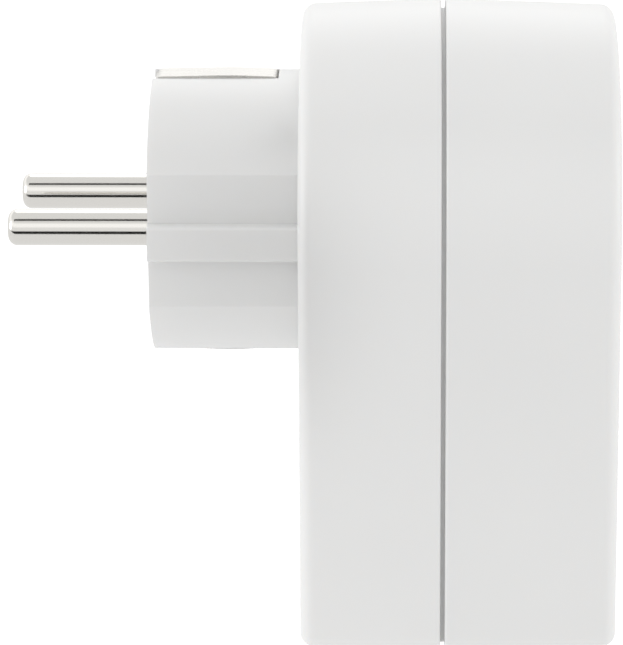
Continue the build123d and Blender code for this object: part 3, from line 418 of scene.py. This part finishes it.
def make_rating_plate():
    material = metal("brushed_foil", (0.72, 0.73, 0.74), 0.32, stretch=(0.04, 1, 1.0), lines=2200.0,
                     smudge=0.18, strength=0.14)
    tree = material.node_tree
    bsdf = tree.nodes["Principled BSDF"]
    low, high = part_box("rating_plate")
    centre, half = (low + high) / 2, (high - low) / 2
    place = put(tree, "ShaderNodeTexCoord").outputs["Object"]
    moved = put(tree, "ShaderNodeVectorMath", {0: place, 1: centre}, operation="SUBTRACT")
    folded = put(tree, "ShaderNodeVectorMath", {0: moved.outputs[0]}, operation="ABSOLUTE")
    split = put(tree, "ShaderNodeSeparateXYZ", {0: folded.outputs[0]})
    from_side = put(tree, "ShaderNodeMath", {0: half.x, 1: split.outputs["X"]}, operation="SUBTRACT")
    from_end = put(tree, "ShaderNodeMath", {0: half.z, 1: split.outputs["Z"]}, operation="SUBTRACT")
    nearest = put(tree, "ShaderNodeMath",
                  {0: from_side.outputs[0], 1: from_end.outputs[0]}, operation="MINIMUM")
    on_line = put(tree, "ShaderNodeMath", {0: nearest.outputs[0], 1: plate_border, 2: plate_line / 2},
                  operation="COMPARE")
    colour = put(tree, "ShaderNodeMixRGB",
                 {0: on_line.outputs[0], 1: (0.72, 0.73, 0.74, 1), 2: (0.05, 0.05, 0.06, 1)})
    bare = put(tree, "ShaderNodeMath", {0: 1.0, 1: on_line.outputs[0]}, operation="SUBTRACT")
    tree.links.new(colour.outputs[0], bsdf.inputs["Base Color"])
    tree.links.new(bare.outputs[0], bsdf.inputs["Metallic"])
    return material


dress(make_rating_plate(), "rating_plate")


# ---- Screws ----
# Steel tapping screws, rolled thread, bright zinc plate, pan head with a cross recess: four long ones hold
# the housing together from the back, and small ones hold the boards and the contact carrier.
thread_depth_share = 0.24
recess_reach = 0.62
recess_width = 0.26
recess_depth = 0.65


def islands(name):
    """The separate solids of a CAD node, each as its lowest and highest corner."""
    bm = bmesh.new()
    bm.from_mesh(nodes[name].data)
    bmesh.ops.remove_doubles(bm, verts=bm.verts, dist=0.001 * mm)
    found, waiting = [], set(bm.verts)
    while waiting:
        group_of, edge_of = [], [waiting.pop()]
        while edge_of:
            vert = edge_of.pop()
            group_of.append(vert.co.copy())
            for edge in vert.link_edges:
                other = edge.other_vert(vert)
                if other in waiting:
                    waiting.remove(other)
                    edge_of.append(other)
        found.append(tuple(Vector(pick(co[axis] for co in group_of) for axis in range(3))
                           for pick in (min, max)))
    bm.free()
    return sorted(found, key=lambda corners: tuple(corners[0]))


def geometry_tree(name, inputs):
    tree = bpy.data.node_groups.new(name, "GeometryNodeTree")
    for label, kind in inputs:
        tree.interface.new_socket(label, in_out="INPUT", socket_type=kind)
    tree.interface.new_socket("Geometry", in_out="OUTPUT", socket_type="NodeSocketGeometry")
    return tree, tree.nodes.new("NodeGroupInput").outputs, tree.nodes.new("NodeGroupOutput").inputs


def sum_of(tree, operation, *values, **settings):
    """One Math node, given its operands in order."""
    return put(tree, "ShaderNodeMath", dict(enumerate(values)), operation=operation, **settings).outputs[0]


def wrapped_grid(tree, around, rows, direction):
    """A grid that will be wrapped round Z: its angle, the share along it, and its mesh."""
    grid = put(tree, "GeometryNodeMeshGrid", {"Size X": 1.0, "Size Y": 1.0, "Vertices X": around + 1,
                                             "Vertices Y": rows}).outputs["Mesh"]
    split = put(tree, "ShaderNodeSeparateXYZ", {0: put(tree, "GeometryNodeInputPosition").outputs[0]})
    share_round = sum_of(tree, "ADD", split.outputs["X"], 0.5)
    share_along = sum_of(tree, "ADD", split.outputs["Y"], 0.5)
    return grid, share_round, share_along, sum_of(tree, "MULTIPLY", share_round, direction * math.tau)


def wrap(tree, grid, radius, angle, height):
    """Moves a grid's points to their radius, angle and height, and closes its seam and poles."""
    x = sum_of(tree, "MULTIPLY", radius, sum_of(tree, "COSINE", angle))
    y = sum_of(tree, "MULTIPLY", radius, sum_of(tree, "SINE", angle))
    where = put(tree, "ShaderNodeCombineXYZ", {"X": x, "Y": y, "Z": height}).outputs[0]
    moved = put(tree, "GeometryNodeSetPosition", {"Geometry": grid, "Position": where}).outputs[0]
    return put(tree, "GeometryNodeMergeByDistance", {"Geometry": moved, "Distance": 0.002 * mm}).outputs[0]


def make_screw_tree():
    """Tapping screw with a helical thread, its head at Z = 0 and its tip up Z, on every given point."""
    tree, given, result = geometry_tree("tapping_screw", [
        ("Geometry", "NodeSocketGeometry"), ("Length", "NodeSocketFloat"),
        ("Crest Radius", "NodeSocketFloat"),
        ("Pitch", "NodeSocketFloat"), ("Rows", "NodeSocketInt"), ("Head Radius", "NodeSocketFloat"),
        ("Head Height", "NodeSocketFloat"), ("Turn", "NodeSocketFloat"), ("Material", "NodeSocketMaterial")])
    length, crest = given["Length"], given["Crest Radius"]
    grid, share_round, share_along, angle = wrapped_grid(tree, 32, given["Rows"], 1)
    along = sum_of(tree, "MULTIPLY", share_along, length)
    phase = sum_of(tree, "SUBTRACT", sum_of(tree, "DIVIDE", along, given["Pitch"]), share_round)
    ridge = sum_of(tree, "MULTIPLY", sum_of(tree, "PINGPONG", phase, 0.5), 2 * thread_depth_share)
    threaded = sum_of(tree, "MULTIPLY", sum_of(tree, "ADD", ridge, 1 - thread_depth_share), crest)
    to_tip = sum_of(tree, "DIVIDE", sum_of(tree, "SUBTRACT", length, along),
                    sum_of(tree, "MULTIPLY", crest, 2.5))
    taper = sum_of(tree, "POWER", sum_of(tree, "MULTIPLY", to_tip, 1.0, use_clamp=True), 0.5)
    not_first = sum_of(tree, "GREATER_THAN", share_along, 0.0001)
    radius = sum_of(tree, "MULTIPLY", sum_of(tree, "MULTIPLY", threaded, taper), not_first)
    shank = wrap(tree, grid, radius, angle, along)

    grid, share_round, share_along, angle = wrapped_grid(tree, 32, 14, -1)
    bend = sum_of(tree, "MULTIPLY", share_along, math.pi / 2)
    upright = sum_of(tree, "MULTIPLY", sum_of(tree, "COSINE", bend), 1.0, use_clamp=True)
    dome = sum_of(tree, "POWER", upright, 0.5)
    rise = sum_of(tree, "POWER", sum_of(tree, "SINE", bend), 0.6)
    height = sum_of(tree, "MULTIPLY", sum_of(tree, "MULTIPLY", rise, given["Head Height"]), -1.0)
    cap = wrap(tree, grid, sum_of(tree, "MULTIPLY", dome, given["Head Radius"]), angle, height)
    seat = put(tree, "GeometryNodeMeshCircle",
               {"Vertices": 32, "Radius": given["Head Radius"]}, fill_type="NGON")
    both = put(tree, "GeometryNodeJoinGeometry", {0: cap})
    tree.links.new(seat.outputs[0], both.inputs[0])
    head = put(tree, "GeometryNodeMergeByDistance",
               {"Geometry": both.outputs[0], "Distance": 0.002 * mm}).outputs[0]
    reach = sum_of(tree, "MULTIPLY", given["Head Radius"], 2 * recess_reach)
    width = sum_of(tree, "MULTIPLY", given["Head Radius"], recess_width)
    deep = sum_of(tree, "MULTIPLY", given["Head Height"], 2 * recess_depth)
    low = put(tree, "ShaderNodeCombineXYZ",
              {"Z": sum_of(tree, "MULTIPLY", given["Head Height"], -1.0)}).outputs[0]
    cut = put(tree, "GeometryNodeMeshBoolean", {"Mesh 1": head}, operation="DIFFERENCE", solver="EXACT")
    for arm in ((reach, width), (width, reach)):
        size = put(tree, "ShaderNodeCombineXYZ", {"X": arm[0], "Y": arm[1], "Z": deep}).outputs[0]
        cube = put(tree, "GeometryNodeMeshCube", {"Size": size}).outputs["Mesh"]
        moved = put(tree, "GeometryNodeTransform", {"Geometry": cube, "Translation": low}).outputs[0]
        tree.links.new(moved, cut.inputs["Mesh 2"])
    whole = put(tree, "GeometryNodeJoinGeometry", {0: cut.outputs["Mesh"]})
    tree.links.new(shank, whole.inputs[0])
    turn = put(tree, "ShaderNodeCombineXYZ", {"X": given["Turn"]}).outputs[0]
    placed = put(tree, "GeometryNodeInstanceOnPoints",
                 {"Points": given["Geometry"], "Instance": whole.outputs[0], "Rotation": turn}).outputs[0]
    real = put(tree, "GeometryNodeRealizeInstances", {"Geometry": placed}).outputs[0]
    smooth = put(tree, "GeometryNodeSetShadeSmooth", {"Geometry": real}).outputs[0]
    finished = put(tree, "GeometryNodeSetMaterial",
                   {"Geometry": smooth, "Material": given["Material"]}).outputs[0]
    tree.links.new(finished, result["Geometry"])
    return tree


def grow(name, points, tree, values, body, slot, *stands_for):
    """Runs a geometry tree on points and keeps the result as a plain piece."""
    seeds = bpy.data.meshes.new(name + "_places")
    seeds.from_pydata(points, [], [])
    source = bpy.data.objects.new(name + "_places", seeds)
    scene.collection.objects.link(source)
    modifier = source.modifiers.new(name, "NODES")
    modifier.node_group = tree
    for socket in tree.interface.items_tree:
        if socket.in_out == "INPUT" and socket.name in values:
            modifier[socket.identifier] = values[socket.name]
    bpy.context.view_layer.update()
    evaluated = source.evaluated_get(bpy.context.evaluated_depsgraph_get())
    mesh = bpy.data.meshes.new_from_object(evaluated)
    source.modifiers.remove(modifier)
    bpy.data.objects.remove(source)
    mesh.name = name
    mesh.set_sharp_from_angle(angle=math.radians(35))
    piece = bpy.data.objects.new(name, mesh)
    scene.collection.objects.link(piece)
    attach(piece, body)
    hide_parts(*stands_for)


screw_tree = make_screw_tree()
zinc = metal("zinc_plate", (0.66, 0.68, 0.71), 0.24, lines=1500.0, smudge=0.25, strength=0.12)
towards_front, towards_rear = math.pi / 2, -math.pi / 2
for node, turn, crest, head_radius, head_height, rows in (
        ("housing_screws", towards_front, 1.25 * mm, 2.5 * mm, 1.9 * mm, 150),
        ("carrier_screws", towards_front, 0.95 * mm, 1.8 * mm, 1.2 * mm, 48),
        ("display_screws", towards_front, 0.95 * mm, 1.8 * mm, 1.2 * mm, 48),
        ("board_screws", towards_rear, 0.95 * mm, 1.8 * mm, 1.2 * mm, 48)):
    places = []
    for low, high in islands(node):
        head_y = high.y - head_height if turn > 0 else low.y + head_height
        places.append(((low.x + high.x) / 2, head_y, (low.z + high.z) / 2))
    values = {"Length": high.y - low.y - head_height, "Crest Radius": crest,
              "Pitch": 0.9 * crest, "Rows": rows,
              "Head Radius": head_radius, "Head Height": head_height, "Turn": turn, "Material": zinc}
    grow(node + "_rolled", places, screw_tree, values, "meter", "plated_steel", node)


# ---- Shutter, its spring and the contact carrier ----
# The shutter is moulded in pale grey acetal and turns on the cup's post against a steel wire spring.
# The carrier behind it is black glass-filled nylon, screwed to the cup, and holds the contacts.
dress(moulded("grey_acetal", (0.52, 0.53, 0.55), 0.42, drift=0.06), "shutter")
dress(metal("spring_wire", (0.50, 0.51, 0.53), 0.28, lines=2600.0, smudge=0.2, edge=0.02 * mm),
      "shutter_spring")
dress(moulded("black_nylon", (0.022, 0.022, 0.024), 0.5, grain=1500.0, strength=0.5, drift=0.25),
      "contact_carrier")


# ---- Contacts, earth bridge and wires ----
# Contacts and bridge are stamped from spring brass, with its rolling lines. The wires are PVC insulated,
# brown for line and blue for neutral, soldered to the pins and to the main board.
dress(metal("spring_brass", (0.74, 0.55, 0.25), 0.26, stretch=(1.0, 0.06, 0.3), lines=1600.0, smudge=0.25),
      "outlet_contact_line", "outlet_contact_neutral", "earth_bridge")
for node, colour in (("wire_line", (0.16, 0.065, 0.03)), ("wire_neutral", (0.03, 0.12, 0.42))):
    dress(moulded(node + "_pvc", colour, 0.4, grain=900.0, strength=0.15, drift=0.12), node)


# ---- Boards ----
# Glass-epoxy boards under green solder mask. The copper tracks show through it as paler lines, and the
# mask is a little glossier over them.
track_scale = 130.0


def make_circuit_board():
    material, tree, bsdf = shader("circuit_board")
    place = put(tree, "ShaderNodeTexCoord").outputs["Object"]
    split = put(tree, "ShaderNodeSeparateXYZ", {0: place})
    flat = put(tree, "ShaderNodeCombineXYZ", {"X": split.outputs["X"], "Y": split.outputs["Z"]}).outputs[0]
    tracks = put(tree, "ShaderNodeTexBrick", {
        "Vector": flat, "Scale": track_scale,
        "Color1": (0.010, 0.085, 0.035, 1), "Color2": (0.014, 0.11, 0.045, 1),
        "Mortar": (0.05, 0.24, 0.10, 1), "Mortar Size": 0.035, "Mortar Smooth": 0.2, "Row Height": 0.34})
    weave = put(tree, "ShaderNodeTexNoise", {"Vector": place, "Scale": 1400.0, "Detail": 2.0})
    gloss = put(tree, "ShaderNodeMapRange", {"Value": tracks.outputs["Fac"], "To Min": 0.38, "To Max": 0.22})
    height = sum_of(tree, "MULTIPLY_ADD", weave.outputs["Fac"], 0.2, tracks.outputs["Fac"])
    bump = put(tree, "ShaderNodeBump", {"Strength": 0.35, "Distance": 0.03 * mm, "Height": height})
    tree.links.new(tracks.outputs["Color"], bsdf.inputs["Base Color"])
    tree.links.new(gloss.outputs["Result"], bsdf.inputs["Roughness"])
    tree.links.new(bump.outputs["Normal"], bsdf.inputs["Normal"])
    return material


dress(make_circuit_board(), "main_board", "display_board")


# ---- Parts on the boards ----
# Each part has the finish it is sold in: dipped epoxy, shrink sleeve, moulded epoxy, ceramic or plated
# cans. They are soldered down, and the shunt is a bent strip of manganin in the line path.
stripe_half = 1.1 * mm


def make_capacitor_sleeve():
    """Dark shrink sleeve with a pale stripe along the can, towards the front."""
    material = moulded("capacitor_sleeve", (0.02, 0.025, 0.05), 0.3, grain=700.0, strength=0.1, drift=0.2)
    tree = material.node_tree
    low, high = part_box("smoothing_capacitor")
    split = put(tree, "ShaderNodeSeparateXYZ", {0: put(tree, "ShaderNodeTexCoord").outputs["Object"]})
    near_middle = sum_of(tree, "COMPARE", split.outputs["Z"], (low.z + high.z) / 2, stripe_half)
    at_front = sum_of(tree, "LESS_THAN", split.outputs["Y"], (low.y + high.y) / 2)
    stripe = sum_of(tree, "MULTIPLY", near_middle, at_front)
    bsdf = tree.nodes["Principled BSDF"]
    skin = bsdf.inputs["Base Color"].links[0].from_socket
    colour = put(tree, "ShaderNodeMixRGB", {0: stripe, 1: skin, 2: (0.55, 0.56, 0.58, 1)})
    tree.links.new(colour.outputs[0], bsdf.inputs["Base Color"])
    return material


dress(make_capacitor_sleeve(), "smoothing_capacitor")
for name, colour, roughness, drift, parts in (
        ("yellow_film_case", (0.62, 0.42, 0.035), 0.36, 0.08, ["suppression_capacitor"]),
        ("blue_epoxy", (0.025, 0.085, 0.34), 0.24, 0.15, ["varistor"]),
        ("pale_blue_coat", (0.22, 0.42, 0.50), 0.4, 0.12, ["sense_resistors"]),
        ("brown_fuse_case", (0.07, 0.03, 0.018), 0.36, 0.15, ["fuse"]),
        ("black_epoxy", (0.014, 0.014, 0.015), 0.5, 0.3,
         ["bridge_rectifier", "metering_chip", "microcontroller"]),
        ("ivory_nylon", (0.68, 0.62, 0.48), 0.45, 0.06,
         ["main_connector", "display_connector", "lcd_frame"]),
        ("black_holder", (0.02, 0.02, 0.021), 0.45, 0.2, ["cell_holder"])):
    dress(moulded(name, colour, roughness, grain=1600.0, strength=0.35, drift=drift), *parts)
dress(metal("manganin", (0.48, 0.33, 0.22), 0.3, stretch=(0.06, 1, 1), lines=1500.0, smudge=0.2), "shunt")
dress(metal("steel_can", (0.60, 0.61, 0.62), 0.22, lines=700.0, smudge=0.25), "crystal", "backup_cell")


def make_layered(name, node, colour, line_colour, pitch, share, roughness):
    """Rubber or PVC in fine parallel lines across X, such as cores or conductive layers."""
    material, tree, bsdf = shader(name)
    split = put(tree, "ShaderNodeSeparateXYZ", {0: put(tree, "ShaderNodeTexCoord").outputs["Object"]})
    fold = sum_of(tree, "PINGPONG", split.outputs["X"], pitch / 2)
    line = sum_of(tree, "LESS_THAN", fold, pitch / 2 * share)
    shade = put(tree, "ShaderNodeMixRGB", {0: line, 1: (*colour, 1), 2: (*line_colour, 1)})
    gloss = put(tree, "ShaderNodeMapRange", {"Value": line, "To Min": roughness, "To Max": roughness + 0.15})
    bump = put(tree, "ShaderNodeBump", {"Strength": 0.6, "Distance": 0.04 * mm, "Height": fold})
    tree.links.new(shade.outputs[0], bsdf.inputs["Base Color"])
    tree.links.new(gloss.outputs["Result"], bsdf.inputs["Roughness"])
    tree.links.new(bump.outputs["Normal"], bsdf.inputs["Normal"])
    dress(material, node)


make_layered("ribbon_pvc", "ribbon_cable", (0.36, 0.36, 0.38), (0.20, 0.20, 0.22), 1.2 * mm, 0.25, 0.4)
make_layered("layered_silicone", "zebra_strips", (0.66, 0.28, 0.30), (0.03, 0.03, 0.03), 0.2 * mm, 0.45, 0.5)


# ---- Display ----
# A clear polycarbonate lens snapped flush into the front wall, with a dark border printed on its back,
# over a reflective liquid crystal glass. Plain seven-segment figures show on the glass.
print_thickness = 0.02 * mm
print_margin = 0.25 * mm
window_inset = 1.1 * mm
large_figures = (("2", "3", "0", ".", "4"), 4.1 * mm, 7.0 * mm, 0.8 * mm)
small_figures = (("1", "2", ":", "4", "5"), 1.4 * mm, 2.3 * mm, 0.3 * mm)
strokes = {"a": (0, 1, 1, 1), "b": (1, 1, 1, 0.5), "c": (1, 0.5, 1, 0),
           "d": (0, 0, 1, 0), "e": (0, 0.5, 0, 0),
           "f": (0, 1, 0, 0.5), "g": (0, 0.5, 1, 0.5)}
figures = {"0": "abcdef", "1": "bc", "2": "abged", "3": "abgcd", "4": "fgbc", "5": "afgcd", ".": "", ":": ""}


def plate(bm, outer, y_front, y_rear, inner=None):
    """Flat plate in X and Z with an optional opening of as many points as its outline."""
    loops = [[bm.verts.new((x, y, z)) for x, z in points]
             for points in (outer, inner) if points for y in (y_front, y_rear)]
    front, rear = loops[0], loops[1]
    count = len(front)
    for n in range(count):
        after = (n + 1) % count
        bm.faces.new((front[n], front[after], rear[after], rear[n]))
        if inner:
            hole_front, hole_rear = loops[2], loops[3]
            bm.faces.new((hole_front[after], hole_front[n], hole_rear[n], hole_rear[after]))
            bm.faces.new((front[after], front[n], hole_front[n], hole_front[after]))
            bm.faces.new((rear[n], rear[after], hole_rear[after], hole_rear[n]))
    if not inner:
        bm.faces.new(front)
        bm.faces.new(rear)


def rounded_box(centre, half_x, half_z, radius, steps=8):
    points = []
    for quarter_turn in range(4):
        sign_x = 1 if quarter_turn in (0, 3) else -1
        sign_z = 1 if quarter_turn < 2 else -1
        for step in range(steps + 1):
            turn = math.pi / 2 * (quarter_turn + step / steps)
            points.append((centre.x + sign_x * (half_x - radius) + radius * math.cos(turn),
                           centre.z + sign_z * (half_z - radius) + radius * math.sin(turn)))
    return points


def stroke_outline(x, z, width, height, thick, ends):
    """A long hexagon between two corners of a figure's cell."""
    start = Vector((x + ends[0] * width, z + ends[1] * height))
    end = Vector((x + ends[2] * width, z + ends[3] * height))
    run = (end - start).normalized()
    across = Vector((-run.y, run.x)) * thick / 2
    gap = run * thick * 0.12
    start, end, shoulder = start + gap, end - gap, run * thick / 2
    return [start, start + shoulder + across, end - shoulder + across, end, end - shoulder - across,
            start + shoulder - across]


def write_figures(bm, row, right, base, y_front):
    """Sets a row of figures from its right-hand end to the left."""
    text, width, height, thick = row
    x = right
    for mark in reversed(text):
        if mark in ".:":
            x -= thick * 1.2
            for z in ((base,) if mark == "." else (base + height * 0.28, base + height * 0.72)):
                dot = rounded_box(Vector((x, 0, z)), thick * 0.55, thick * 0.55, thick * 0.3, steps=3)
                plate(bm, dot, y_front, y_front + print_thickness / 2)
            x -= thick * 1.2
            continue
        x -= width
        for stroke in figures[mark]:
            outline = stroke_outline(x, base, width, height, thick, strokes[stroke])
            plate(bm, [tuple(point) for point in outline], y_front, y_front + print_thickness / 2)
        x -= thick * 1.9


def make_display():
    lens_low, lens_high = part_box("display_lens")
    glass_low, glass_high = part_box("lcd_glass")
    centre = (lens_low + lens_high) / 2
    clear, tree, bsdf = shader("clear_polycarbonate")
    haze = put(tree, "ShaderNodeTexNoise", {"Vector": put(tree, "ShaderNodeTexCoord").outputs["Object"],
                                            "Scale": 180.0, "Detail": 3.0})
    rough = put(tree, "ShaderNodeMapRange", {"Value": haze.outputs["Fac"], "To Min": 0.015, "To Max": 0.05})
    tree.links.new(rough.outputs["Result"], bsdf.inputs["Roughness"])
    bsdf.inputs["Base Color"].default_value = (0.97, 0.98, 0.98, 1)
    bsdf.inputs["Transmission Weight"].default_value = 1.0
    bsdf.inputs["IOR"].default_value = 1.45
    dress(clear, "display_lens")

    glass = moulded("liquid_crystal_glass", (0.36, 0.40, 0.33), 0.22,
                    grain=3000.0, strength=0.05, drift=0.05)
    dress(glass, "lcd_glass")

    half_x = (lens_high.x - lens_low.x) / 2 - print_margin
    half_z = (lens_high.z - lens_low.z) / 2 - print_margin
    open_x = (glass_high.x - glass_low.x) / 2 - window_inset
    open_z = (glass_high.z - glass_low.z) / 2 - window_inset
    bm = bmesh.new()
    plate(bm, rounded_box(centre, half_x, half_z, 1.7 * mm), lens_high.y + print_thickness / 2,
          lens_high.y + 1.5 * print_thickness, rounded_box(centre, open_x, open_z, 1.0 * mm))
    bmesh.ops.recalc_face_normals(bm, faces=bm.faces)
    ink = moulded("border_ink", (0.05, 0.055, 0.065), 0.4,
                  grain=2200.0, strength=0.1, drift=0.15, edge=0.01 * mm)
    add_piece("display_border", bm, ink, "meter", "clear_lens")

    bm = bmesh.new()
    figures_y = glass_low.y - print_thickness
    write_figures(bm, large_figures, centre.x + 13.5 * mm, centre.z - 5.6 * mm, figures_y)
    write_figures(bm, small_figures, centre.x + 13.5 * mm, centre.z + 2.6 * mm, figures_y)
    bmesh.ops.recalc_face_normals(bm, faces=bm.faces)
    crystal = moulded("liquid_crystal", (0.02, 0.024, 0.02), 0.3, grain=2200.0, strength=0.05, drift=0.2,
                      edge=0.01 * mm)
    add_piece("display_figures", bm, crystal, "meter", "display_glass")


make_display()


# ---- Keys, their rubber mat and domes ----
# Four grey ABS caps come up through the front wall on silicone domes. Three carry a printed mark: a ring,
# an arrow up and an arrow down. The small recessed one is worked with a pen tip.
mark_thickness = 0.03 * mm
mark_reach = 1.05 * mm
ring_width = 0.32 * mm
dress(moulded("grey_abs", (0.27, 0.29, 0.32), 0.42, drift=0.06),
      "key_mode", "key_up", "key_down", "key_reset")
dress(moulded("grey_silicone", (0.17, 0.175, 0.185), 0.62, grain=1200.0, strength=0.4, drift=0.12),
      "key_mat", "dome_mode", "dome_up", "dome_down", "dome_reset")
mark_ink = moulded("mark_ink", (0.86, 0.87, 0.88), 0.5, grain=2600.0, strength=0.1, edge=0.01 * mm)
for key, body, point in (("key_mode", "mode_key", 0), ("key_up", "up_key", 1), ("key_down", "down_key", -1)):
    low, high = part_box(key)
    centre = (low + high) / 2
    bm = bmesh.new()
    front, rear = low.y - mark_thickness / 2, low.y + mark_thickness / 2
    if point:
        arrow = [(centre.x - mark_reach, centre.z - point * mark_reach * 0.6),
                 (centre.x + mark_reach, centre.z - point * mark_reach * 0.6),
                 (centre.x, centre.z + point * mark_reach)]
        plate(bm, arrow, front, rear)
    else:
        plate(bm, rounded_box(centre, mark_reach, mark_reach, mark_reach), front, rear,
              rounded_box(centre, mark_reach - ring_width, mark_reach - ring_width, mark_reach - ring_width))
    bmesh.ops.recalc_face_normals(bm, faces=bm.faces)
    add_piece(key + "_mark", bm, mark_ink, body, "grey_key")
